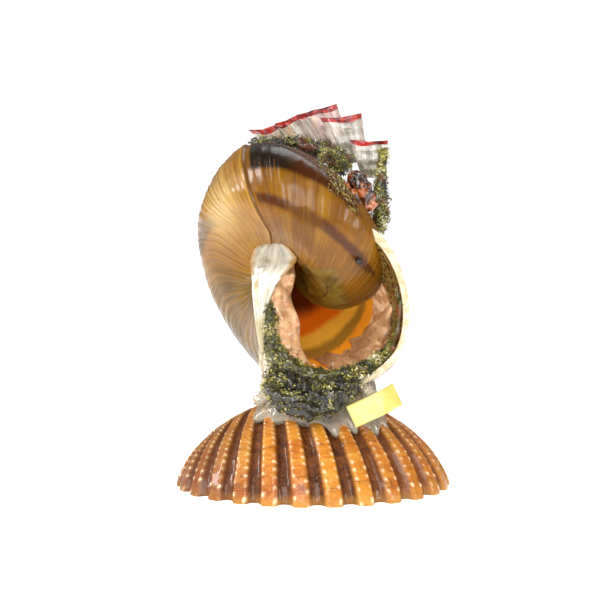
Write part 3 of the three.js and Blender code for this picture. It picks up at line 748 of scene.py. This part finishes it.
def rope_frames(path, radii, count):
    """Centres, radii and two side directions along a rope."""
    centres = follow(path, count)
    along = np.gradient(centres, axis=0)
    along /= np.linalg.norm(along, axis=1, keepdims=True)
    side = np.cross(along, [0.11, 0.95, 0.2])
    side /= np.linalg.norm(side, axis=1, keepdims=True)
    sizes = np.interp(np.linspace(0, 1, count), np.linspace(0, 1, len(radii)), radii)
    return centres, sizes, side, np.cross(along, side)


def rope_rings(path, radii, count, sides, lump, seed):
    """Lumpy rings of a rope, with ends drawn in."""
    centres, sizes, side, up = rope_frames(path, radii, count)
    share = np.linspace(0, 1, count)
    sizes = sizes * np.clip(np.minimum(share, 1 - share) * 12 + 0.15, 0, 1) ** 0.5
    angle = np.linspace(0, TAU, sides, endpoint=False)
    spokes = np.cos(angle)[None, :, None] * side[:, None] + np.sin(angle)[None, :, None] * up[:, None]
    rings = centres[:, None] + spokes * sizes[:, None, None]
    swell = 1 + lump * ripple(rings, 1.8, seed)
    return centres[:, None] + spokes * (sizes[:, None] * swell)[..., None]


def shards(centres, lengths, widths, directions):
    """Small closed grains: a spindle of four sides at each centre."""
    along = directions / np.linalg.norm(directions, axis=1, keepdims=True)
    side = np.cross(along, [0.3, 0.2, 0.93])
    side /= np.linalg.norm(side, axis=1, keepdims=True)
    up = np.cross(along, side)
    corners = np.stack([
        centres - along * lengths[:, None] / 2, centres + side * widths[:, None] / 2,
        centres + up * widths[:, None] / 4, centres - side * widths[:, None] / 2,
        centres - up * widths[:, None] / 4, centres + along * lengths[:, None] / 2], 1)
    ring = [(0, 2, 1), (0, 3, 2), (0, 4, 3), (0, 1, 4), (5, 1, 2), (5, 2, 3), (5, 3, 4), (5, 4, 1)]
    faces = (np.array(ring)[None] + 6 * np.arange(len(centres))[:, None, None]).reshape(-1, 3)
    return corners.reshape(-1, 3), faces.tolist()


def moss_material():
    """Moss, grit and bark under varnish. hue runs from black through green and straw to white."""
    m = Surface("moss_varnished", Roughness=0.35, Coat_Weight=0.6, Coat_Roughness=0.08)
    hue = m.shaken(m.attribute("hue"), m.noise(1.2), 0.35)
    colour = m.ramp(
        hue, (20, 18, 10), (0.1, 0.3, (72, 68, 24)), (0.35, 0.55, (136, 128, 40)),
        (0.6, 0.78, (206, 194, 92)), (0.86, 0.98, (232, 226, 190)))
    colour = m.mix(m.times(m.attribute("bark"), 0.85), colour,
                   m.mix(m.noise(0.8), (70, 34, 18), (150, 84, 44)))
    m.colour(colour)
    m.rough(m.noise(0.6), 0.12, 0.5)
    m.bump((m.noise(0.4, detail=4), 0.15))
    return m.material


CORE_SHARE, FIBRE_SHARE = 0.82, 0.35
BARK_LEVEL = 44  # bark is mixed in above this height
# Ropes of each clump: path and radii. Then the number of grains, and the clump's usual hue.
MOSS = {
    "moss_collar": ([
        ([[-8.4, -7.2, 19.6], [-5, -11.6, 17.6], [-0.6, -13.2, 16.6], [3.4, -13, 17.8], [7.4, -12, 20.2]],
         [1.4, 2.3, 2.7, 2.5, 1.6]),
        ([[-7.6, -7.4, 22], [-4.6, -9.6, 20], [-0.4, -11.4, 18.9], [4, -11.8, 19.6], [7.8, -11.2, 21.4]],
         [1.4, 2.0, 2.3, 2.1, 1.3]),
    ], 4400, 0.34),
    "moss_lip": ([
        ([[-8.1, -6.6, 33.6], [-7.6, -6.6, 31.4], [-7.6, -6.2, 28], [-6.6, -6.6, 24.6], [-2.4, -8.6, 21.9],
          [3, -10.2, 21], [8, -11.8, 22.2]],
         [0.5, 1.0, 1.3, 1.9, 1.7, 1.5, 1.4]),
        ([[4.6, -11.0, 21.6], [8.6, -11.0, 22.6], [11.8, -9.8, 24.4], [14.0, -8.6, 26.8]],
         [1.0, 1.2, 0.9, 0.5]),
    ], 4400, 0.5),
    "moss_crest": ([
        ([[-11.2, 5, 61.4], [-6.8, 5.4, 61.7], [-1.4, 4.4, 61.4], [3.1, 2, 60], [6.2, -0.4, 57.8]],
         [0.7, 0.9, 1.1, 1.5, 1.8]),
        ([[2.0, 0.2, 60.0], [4.2, -1.4, 58.6], [5.8, -2.4, 57.0]], [1.0, 1.6, 1.2]),
    ], 2800, 0.36),
    "moss_side": ([
        ([[12.7, 0.2, 60.6], [12.3, -1.0, 57.8], [12.0, -2.2, 54], [12.0, -2.6, 50], [11.8, -2.8, 46.2]],
         [0.5, 0.7, 1.2, 1.6, 1.0]),
    ], 1700, 0.52),
}


def add_moss():
    look = moss_material()
    for seed, (name, (ropes, count, mood)) in enumerate(MOSS.items()):
        draw = np.random.default_rng(100 + seed)
        parts, hues = [], []
        for number, (path, radii) in enumerate(ropes):
            core_radii = np.array(radii) * CORE_SHARE
            core = closed_loft(rope_rings(path, core_radii, 60, 28, 0.3, 7 * seed + number))
            parts.append(core)
            hues.append(np.full(len(core[0]), mood - 0.2))
            share = count // len(ropes)
            place = draw.uniform(0, 59.99, share).astype(int)
            centres, sizes, side, up = rope_frames(path, radii, 60)
            angle = draw.uniform(0, TAU, share)
            out = np.cos(angle)[:, None] * side[place] + np.sin(angle)[:, None] * up[place]
            reach = sizes[place] * draw.uniform(0.65, 1.1, share)
            middle = centres[place] + out * reach[:, None] + draw.normal(size=(share, 3)) * 0.25
            fibre = draw.random(share) < FIBRE_SHARE
            length = np.where(fibre, draw.uniform(0.6, 1.6, share), draw.uniform(0.3, 0.9, share))
            width = np.where(fibre, draw.uniform(0.08, 0.16, share), draw.uniform(0.2, 0.6, share))
            parts.append(shards(middle, length, width, draw.normal(size=(share, 3)) + 0.5 * out))
            clump = mood + 0.4 * ripple(middle, 3.4, 80 + seed)
            hues.append(np.repeat(np.clip(draw.normal(clump, 0.15), 0, 1), 6))
        points, faces = joined(parts)
        points[:, 2] = np.maximum(points[:, 2], 0.1)
        bark = np.clip(ripple(points, 4, 50 + seed) * 1.6 - 0.5, 0, 1) * (points[:, 2] > BARK_LEVEL)
        piece = make_object(name + "_fine", points, faces, look, {"hue": np.concatenate(hues), "bark": bark})
        settle(piece, name)


def add_grit():
    """Specks and fibres stuck on the dark band of the crown."""
    draw, count = np.random.default_rng(7), 900
    turn = ARREST - 0.75 - 0.85 * draw.beta(1.3, 1.2, count)
    girth = 5.4 + 0.9 * draw.random(count) + 0.52 * (ARREST - turn)
    surface = to_table(at_age(mouth_point(girth, 0.0), turn))
    above = to_table(at_age(mouth_point(girth, 0.35), turn))
    ahead = to_table(at_age(mouth_point(girth, 0.0), turn + 0.02)) - surface
    aside = to_table(at_age(mouth_point(girth + 0.02, 0.0), turn)) - surface
    way = draw.normal(size=(count, 2))
    lie = ahead * way[:, :1] + aside * way[:, 1:]
    middle = surface + (above - surface) * draw.uniform(0.1, 1.2, (count, 1))
    parts = shards(middle, draw.uniform(0.25, 1.0, count), draw.uniform(0.08, 0.3, count), lie)
    hue = np.repeat(np.clip(draw.normal(0.62, 0.22, count), 0, 1), 6)
    bark = np.repeat((draw.random(count) < 0.5) * 0.9, 6)
    look = bpy.data.materials["moss_varnished"]
    piece = make_object("crown_grit", *parts, look, {"hue": hue, "bark": bark})
    settle(piece)


add_moss()
add_grit()


# ---- linings of the mouth

LINING_INSET = SHELL_WALL + 0.05
# Angles round the mouth, ages, thickness at the two ends, and kind of each lining.
LININGS = {
    "putty_right": ((-0.35, 1.0), (-0.5, -0.95), (2.6, 2.0), "putty"),
    "putty_sill": ((4.6, 5.5), (-0.2, -0.55), (1.5, 1.2), "putty"),
    "moss_inner_lip": ((-0.6, 0.95), (-0.06, -0.42), (1.4, 1.0), "moss"),
}


def patch_rings(angles, turns, thick, seed):
    """A pad on the inner wall, from angle to angle round the mouth and from turn to turn back."""
    steps, depths = 70, 12
    lumps, rings = 0.2, []
    for step in range(steps + 1):
        share = step / steps
        angle = angles[0] + (angles[1] - angles[0]) * share
        thickness = thick[0] + (thick[1] - thick[0]) * share
        ragged = 0.05 * math.sin(9 * angle + seed) + 0.03 * math.sin(23 * angle)
        outer, inner = [], []
        for depth in range(depths + 1):
            turn = turns[0] + ragged + (turns[1] - turns[0]) * depth / depths
            swell = 0.35 + 0.65 * math.sin(math.pi * (depth + 1) / (depths + 2))
            swell *= min(1, 0.25 + 6 * min(share, 1 - share))
            bump = 1 + lumps * math.sin(6 * angle + 0.8 * depth / depths)
            bump += 0.07 * math.sin(17 * angle + depth)
            outer.append(at_age(mouth_point(angle, -LINING_INSET), turn))
            inner.append(at_age(mouth_point(angle, -LINING_INSET - thickness * swell * bump), turn))
        rings.append(outer + inner[::-1])
    return to_table(np.array(rings))


def putty_material():
    m = Surface("putty_waxy", Roughness=0.28, Coat_Weight=0.5, Coat_Roughness=0.08,
                Subsurface_Weight=0.3, Subsurface_Scale=0.8 * MM)
    streak = m.noise(1.1, detail=5, rough=0.65)
    tone = m.blend(m.noise(4, detail=3), 0.35, 0.65, (186, 132, 88), (230, 182, 132))
    tone = m.blend(streak, 0.56, 0.7, tone, (244, 222, 194))
    tone = m.blend(streak, 0.42, 0.3, tone, (150, 96, 60))
    m.colour(m.blend(m.noise(0.5, detail=2), 0.7, 0.76, tone, (90, 60, 40)))
    m.bump((streak, 0.3), (m.noise(0.5), 0.06))
    return m.material


# Free-standing pad behind the left lip: rows as for the callus.
LEFT_PAD_ROWS = [
    (40.4, (-4.6, -4.6), (-4.0, -4.4), (-3.4, -4.0)),
    (38.5, (-6.0, -5.4), (-4.6, -4.8), (-3.2, -4.0)),
    (36.7, (-7.2, -5.6), (-5.4, -5.0), (-3.5, -3.8)),
    (34.9, (-8.2, -5.6), (-6.0, -5.0), (-3.9, -3.4)),
    (33.1, (-8.6, -5.6), (-6.1, -4.8), (-3.6, -3.2)),
    (31.3, (-8.6, -5.6), (-5.8, -4.8), (-2.8, -3.2)),
    (29.5, (-8.0, -5.6), (-5.2, -5.0), (-2.3, -3.2)),
    (27.7, (-7.4, -5.8), (-5.0, -5.2), (-2.4, -3.4)),
    (25.9, (-6.6, -6.0), (-4.4, -5.4), (-2.2, -3.8)),
    (24.2, (-5.6, -6.4), (-3.4, -5.8), (-1.4, -4.4)),
    (22.9, (-3.4, -6.6), (-2.0, -6.2), (-0.6, -5.2)),
]


def add_left_pad(look):
    rings, _ = sheet_rings(LEFT_PAD_ROWS, 80, 24, 0.9, 5, 0.45)
    piece = make_object("putty_left_fine", *closed_loft(rings), look)
    face_outward(piece)
    settle(piece, "putty_left")


def add_linings():
    looks = {"putty": putty_material(), "moss": bpy.data.materials["moss_varnished"]}
    add_left_pad(looks["putty"])
    for seed, (name, (angles, turns, thick, kind)) in enumerate(LININGS.items()):
        points, faces = closed_loft(patch_rings(angles, turns, thick, seed))
        attributes = None
        if kind == "moss":
            draw, count = np.random.default_rng(40), 1100
            middle = points[draw.integers(0, len(points) - 2, count)] + draw.normal(size=(count, 3)) * 0.12
            grain = shards(middle, draw.uniform(0.25, 0.9, count), draw.uniform(0.1, 0.3, count),
                           draw.normal(size=(count, 3)))
            hue = np.concatenate([np.full(len(points), 0.35), np.repeat(draw.normal(0.5, 0.2, count), 6)])
            points, faces = joined([(points, faces), grain])
            attributes = {"hue": hue, "bark": np.clip(0.45 + 0.9 * ripple(points, 5, 9), 0, 1)}
        piece = make_object(name + "_fine", points, faces, looks[kind], attributes)
        face_outward(piece)
        settle(piece, name)


add_linings()


# ---- glue, resin, bead

def glue_material():
    m = Surface("glue_clear", Roughness=0.08, IOR=1.48, Coat_Weight=0.3, Coat_Roughness=0.03,
                Transmission_Weight=0.7)
    m.colour((240, 228, 204))
    absorb = m.node("ShaderNodeVolumeAbsorption", {"Color": (236, 226, 204), "Density": 30})
    m.links.new(absorb.outputs[0], m.nodes["Material Output"].inputs["Volume"])
    m.bump((m.noise(2.5, detail=3), 0.4))
    return m.material


FOOT_CENTRE = np.array([1.3, -1.2])
# Height, half width and half depth of the foot's levels. A skirt over the valve goes on from them.
FOOT_LEVELS = [(19.6, 8.8, 6.4), (18.6, 9.4, 8.2), (17.4, 9.8, 9.2), (16.4, 10.3, 9.8)]
# Drips run out over the valve: direction from the front, how far, how wide.
DRIPS = [
    (0.2, 2.2, 0.09), (0.5, 1.6, 0.1), (0.82, 2.4, 0.12),
    (1.1, 2.2, 0.12), (-1.1, 2.0, 0.16), (-0.75, 1.0, 0.12),
]
SKIRT_REACH, SKIRT_WIDE, SKIRT_DEEP = 10.4, 1.06, 0.96
SKIRT_LIFT, SKIRT_SINK = 0.4, -0.4  # of its top and of its underside, over the valve
SKIRT_SHARES, UNDER_SHARES = (0.2, 0.45, 0.7, 0.88, 1.0), (1.0, 0.75)
# Clear glue up the left lip, and a lump of it at the right.
STRAND = [[-9.4, -4.8, 26.6], [-8.9, -5.6, 23], [-8.3, -6.2, 19.6], [-8.8, -6.4, 17.2], [-10.6, -6.2, 15.8]]
LUMP = [[8.8, -8.6, 19.6], [10.0, -8.8, 18], [11.2, -8.4, 16.6]]


def foot_ring(wide, deep, angle):
    """Plan of an oval ring round the foot."""
    return FOOT_CENTRE + np.stack([wide * np.cos(angle), deep * np.sin(angle)], -1)


def skirt_ring(reach, lift, angle):
    """A ring of the glue's skirt, some way over the valve."""
    plan = foot_ring(reach * SKIRT_WIDE, reach * SKIRT_DEEP, angle)
    height, _ = dome(plan, 0)
    return np.column_stack([plan, height + lift])


def add_foot():
    angle = np.linspace(0, TAU, 180, endpoint=False)
    front = (angle + math.pi / 2 + math.pi) % TAU - math.pi
    lobes = 1 + 0.04 * np.sin(3 * angle + 1) + 0.02 * np.sin(7 * angle) + 0.012 * np.sin(17 * angle + 2)
    rings = [np.column_stack([foot_ring(wide * lobes, deep * lobes, angle), np.full(angle.shape, z)])
             for z, wide, deep in FOOT_LEVELS]
    drip = sum(far * np.exp(-((front - way) / wide) ** 2) for way, far, wide in DRIPS)
    for share in SKIRT_SHARES:
        thick = 1.5 * (1 - share) ** 0.6 * (1 + 0.3 * np.sin(5 * angle)) + 0.12
        rings.append(skirt_ring(SKIRT_REACH + share * (0.3 + drip), SKIRT_LIFT + thick, angle))
    for share in UNDER_SHARES:
        rings.append(skirt_ring((SKIRT_REACH + 0.3 + drip) * share, SKIRT_SINK, angle))
    points = np.array(rings)
    points[:-2] += ripple(points[:-2], 3, 21)[..., None] * 0.14
    strand = rope_rings(STRAND, [0.4, 0.7, 0.9, 1.1, 1.0], 50, 24, 0.15, 77)
    lump = rope_rings(LUMP, [0.8, 1.2, 0.8], 30, 24, 0.2, 78)
    parts = joined([closed_loft(points), closed_loft(strand), closed_loft(lump)])
    piece = make_object("glue_foot_clear", *parts, glue_material())
    face_outward(piece)
    settle(piece, "glue_foot")


# Path and radii of each drop, the large one first.
DROPS = [
    ([[6.6, -5.6, 57.0], [7.9, -6.2, 55.2], [9.0, -6.6, 52.8], [10.2, -6.4, 50.2]], [0.9, 1.6, 1.8, 1.2]),
    ([[6.7, -9.4, 54.2], [7.4, -9.9, 52.9], [8.1, -10.2, 51.6]], [0.4, 0.7, 0.4]),
    ([[5.6, -9.3, 55.4], [6.1, -10.0, 54.2]], [0.35, 0.5]),
    ([[7.6, -7.4, 56.2], [8.2, -8.0, 54.4], [8.9, -8.2, 52.4]], [0.5, 0.9, 0.5]),
]


def add_resin():
    m = Surface("resin_dark", Roughness=0.08, IOR=1.5, Coat_Weight=0.9, Coat_Roughness=0.02,
                Specular_IOR_Level=0.5)
    tone = m.blend(m.noise(2.2, detail=3), 0.4, 0.62, (40, 12, 4), (176, 88, 22))
    m.colour(m.blend(m.noise(1.1, detail=3), 0.6, 0.68, tone, (14, 12, 16)))
    m.bump((m.noise(1.6, detail=2), 0.8))
    parts = [closed_loft(rope_rings(*DROPS[0], 60, 40, 0.28, 31))]
    for number, drop in enumerate(DROPS[1:]):
        parts.append(closed_loft(rope_rings(*drop, 30, 24, 0.15, 60 + number)))
    piece = make_object("resin_glossy", *joined(parts), m.material)
    face_outward(piece)
    settle(piece, "resin_drops")


BEAD_MIDDLE, BEAD_RADIUS = np.array([7.9, -13.3, 41.9]), 0.6


def add_bead():
    m = Surface("bead_black", Roughness=0.2, Coat_Weight=0.2)
    m.colour(m.mix(m.noise(1), (8, 8, 8), (30, 26, 22)))
    lat = np.linspace(0.12, math.pi - 0.12, 20)[:, None]
    lon = np.linspace(0, TAU, 32, endpoint=False)[None]
    round_it = np.ones_like(lon)
    ball = np.stack([np.sin(lat) * np.cos(lon), np.sin(lat) * np.sin(lon), np.cos(lat) * round_it], -1)
    piece = make_object("bead_glossy", *closed_loft(ball * BEAD_RADIUS + BEAD_MIDDLE), m.material)
    face_outward(piece)
    settle(piece, "bead")


add_foot()
add_resin()
add_bead()


# ---- scallop fragment

SCALLOP_BEAK = np.array([12.2, 0.6, 45.0])
# Top edge of each flute: right and left end. Each tucks in behind the one on its right.
FLUTES = [
    ([13.3, -0.4, 62.0], [7.1, 0.9, 62.0]),
    ([8.6, 2.6, 66.6], [1.8, 2.8, 65.9]),
    ([4.2, 4.5, 68.5], [-2.5, 4.6, 66.7]),
    ([-2.7, 5.8, 66.5], [-6.7, 6.2, 64.8]),
    ([-6.9, 7.2, 64.3], [-11.4, 7.6, 63.5]),
]


def scallop_material():
    m = Surface("scallop_waxy", Roughness=0.25, Coat_Weight=0.55, Coat_Roughness=0.06,
                Subsurface_Weight=0.2, Subsurface_Scale=1.0 * MM)
    reach, share, number = map(m.attribute, ("reach", "share", "number"))
    streak = m.noise(0.12, m.vector(m.plus(share, number), m.times(reach, 0.3)), detail=4)
    lump = m.noise(1.6, detail=5, rough=0.65)
    tone = m.blend(streak, 0.35, 0.65, (150, 140, 126), (218, 210, 198))
    tone = m.blend(lump, 0.55, 0.7, tone, (244, 240, 230))
    tone = m.blend(lump, 0.42, 0.3, tone, (138, 128, 108))
    blush = m.band(number, 1.6, 3.4, 0.2)
    blush = m.times(blush, m.rise(m.noise(5), 0.4, 0.6, 0.5))
    tone = m.mix(blush, tone, (196, 150, 146))
    warm = m.times(m.rise(m.noise(3.2, detail=3), 0.56, 0.68), m.rise(reach, 0.8, 0.9))
    tone = m.mix(m.times(warm, 0.7), tone, (206, 164, 92))
    low = m.shaken(reach, lump, 0.12)
    tone = m.blend(low, 0.83, 0.74, tone, (96, 88, 52), 0.7)
    # Painted shade: each flute darkens towards its two sides, where the flutes fold in behind one another.
    side = m.math("ABSOLUTE", m.minus(share, 0.5))
    tone = m.blend(side, 0.4, 0.5, tone, (110, 96, 84), 0.5)
    margin = m.blend(m.noise(1.2), 0.4, 0.6, (110, 20, 14), (190, 44, 28))
    edge = m.shaken(m.attribute("margin"), lump, 0.5)
    tone = m.blend(edge, 0.45, 0.6, tone, margin)
    tone = m.blend(m.noise(0.9, detail=4), 0.64, 0.72, tone, (84, 76, 44), 0.6)
    m.colour(tone)
    m.bump((streak, 0.3), (lump, 0.25))
    return m.material


def add_scallop():
    columns = 40
    shares = np.linspace(0, 1, columns)
    reaches = np.concatenate([np.linspace(0.62, 0.97, 36), np.linspace(0.972, 1, 8)])
    tall = np.repeat(reaches, columns * 2)
    wide = np.tile(np.concatenate([shares, shares[::-1]]), len(reaches))
    parts, numbers = [], []
    for number, (right, left) in enumerate(FLUTES):
        top = np.array(right) + (np.array(left) - np.array(right)) * (1.09 * shares[:, None] - 0.01)
        crinkle = 0.18 * np.sin(7 * shares + 2 * number) + 0.35 * (2 * shares - 1) ** 4 - 0.1
        rings = []
        for reach in reaches:
            edge = SCALLOP_BEAK + (top - SCALLOP_BEAK) * reach
            edge[:, 1] += 1.2 * reach * np.sin(math.pi * shares)
            edge[:, 1] += 0.22 * np.sin(3 * math.pi * shares + number) + 0.12 * math.sin(reach * 60 + number)
            edge[:, 2] += crinkle * (reach > 0.9)
            thick = 0.75 if reach < 0.97 else 0.95
            rings.append(np.vstack([edge, edge[::-1] + np.array([0, thick, 0])]))
        parts.append(closed_loft(np.array(rings)))
        numbers.append(np.full(len(parts[-1][0]), float(number)))
    marks = {
        "reach": np.tile(np.append(tall, [reaches[0], 1]), len(FLUTES)),
        "share": np.tile(np.append(wide, [0.5, 0.5]), len(FLUTES)),
        "margin": np.tile(np.append((tall > 0.968) * 1.0, [0, 1]), len(FLUTES)),
        "number": np.concatenate(numbers),
    }
    piece = make_object("scallop_fragment", *joined(parts), scallop_material(), marks)
    face_outward(piece)
    settle(piece, "scallop_crest")


add_scallop()


# ---- label

LABEL_CORNER, LABEL_RISE = np.array([5.6, -13.9, 16.4]), math.radians(25)
LABEL_FLAT, LABEL_LENGTH, LABEL_BEND_RADIUS = 4.6, 9.6, 7
LABEL_HEIGHT, LABEL_THICKNESS = 4.2, 0.28
LABEL_DOWN = np.array([0.42, -0.28, -0.86])


def add_label():
    m = Surface("label_paper", Roughness=0.45, Coat_Weight=0.35, Coat_Roughness=0.12)
    paper = m.blend(m.noise(2.5, detail=4), 0.4, 0.65, (212, 190, 92), (226, 208, 124))
    m.colour(m.blend(m.noise(0.7, detail=5), 0.6, 0.72, paper, (206, 196, 120)))
    m.bump((m.noise(0.5, detail=3), 0.05), (m.noise(4), 0.4))
    drops = LABEL_HEIGHT * np.linspace(0.01, 0.99, 12)
    rings = []
    for length in np.linspace(0.1, LABEL_LENGTH, 48):
        turn = max(length - LABEL_FLAT, 0) / LABEL_BEND_RADIUS
        along = min(length, LABEL_FLAT) + LABEL_BEND_RADIUS * math.sin(turn)
        back = LABEL_BEND_RADIUS * (1 - math.cos(turn))
        top = LABEL_CORNER + np.array([along * math.cos(LABEL_RISE), back, along * math.sin(LABEL_RISE)])
        inward = np.array([-math.sin(turn), math.cos(turn), 0]) * LABEL_THICKNESS
        waves = 0.1 * np.sin(length * 1.3 + np.arange(12) / 3)
        column = top + np.outer(drops, LABEL_DOWN) + np.outer(waves, inward)
        rings.append(np.vstack([column, column[::-1] + inward]))
    piece = make_object("label_bare", *closed_loft(np.array(rings)), m.material)
    face_outward(piece)
    settle(piece, "label")


add_label()
